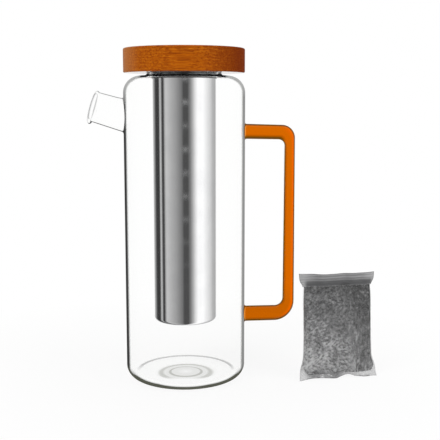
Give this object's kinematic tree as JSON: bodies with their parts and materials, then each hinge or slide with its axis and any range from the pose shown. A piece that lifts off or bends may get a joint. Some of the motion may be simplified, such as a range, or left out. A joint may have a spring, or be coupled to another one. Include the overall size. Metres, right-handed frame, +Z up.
{
  "type": "water filter jug",
  "caption": "Tall cylindrical glass jug with a tilted pouring spout, a bent amber glass handle, a wooden lid, a steel filter tube hung in the neck and a loose filter pouch.",
  "frame": {"origin": "on the glass body's axis, at the surface that the jug stands on", "axes": "+Z up along the body's axis, +X towards the handle, -X towards the spout"},
  "size_m": [0.2417, 0.1, 0.2746],
  "materials": {
    "clear_glass": "clear blown glass",
    "amber_glass": "clear amber glass",
    "steel": "bright polished sheet",
    "black_silicone": "satin moulded silicone",
    "lid_wood": "oiled, fine straight grain",
    "pale_silicone": "translucent moulded silicone",
    "pouch_sheet": "heat-sealed fibre sheet, translucent",
    "granules": "loose mineral and carbon granules"
  },
  "bodies": {
    "jug": {"glass_base": "clear_glass", "glass_body": "clear_glass", "pour_spout": "clear_glass", "handle": "amber_glass"},
    "filter": {"filter_tube": "steel", "strainer_cap": "steel", "tube_flange": "steel", "neck_seal": "black_silicone"},
    "lid": {"lid_disc": "lid_wood", "lid_plug": "lid_wood", "lid_seal": "pale_silicone"},
    "pouch": {"pouch_bag": "pouch_sheet", "filter_media": "granules"}
  },
  "joints": [
    {"name": "filter_lift", "type": "slide", "parent": "jug", "child": "filter", "axis": [0, 0, 1], "range_m": [0, 0.3]},
    {"name": "lid_lift", "type": "slide", "parent": "filter", "child": "lid", "axis": [0, 0, 1], "range_m": [0, 0.15]},
    {"name": "pouch_lift", "type": "slide", "parent": "jug", "child": "pouch", "axis": [0, 0, 1], "range_m": [0, 0.3]}
  ]
}
